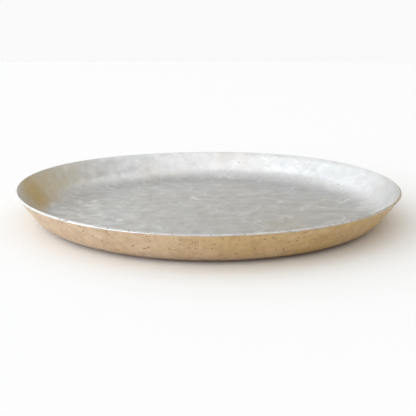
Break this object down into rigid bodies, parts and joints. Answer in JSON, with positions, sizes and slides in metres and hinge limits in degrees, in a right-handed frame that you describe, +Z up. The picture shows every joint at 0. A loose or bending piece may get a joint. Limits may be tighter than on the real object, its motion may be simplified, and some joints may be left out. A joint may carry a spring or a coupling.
{
  "type": "hammered copper tray",
  "caption": "Shallow round tray raised from hammered sheet copper, with a flat base, a flared wall and a wiped tin lining that laps over the rim.",
  "frame": {"origin": "centre of the flat underside, on the tray's axis", "axes": "+Z up along the tray's axis, out of its open side; X and Y are alike, as the tray is round"},
  "size_m": [0.3998, 0.3998, 0.0342],
  "materials": {
    "copper": null,
    "tin": null
  },
  "bodies": {
    "root": {"copper_body": "copper", "tin_lining": "tin"}
  },
  "joints": []
}
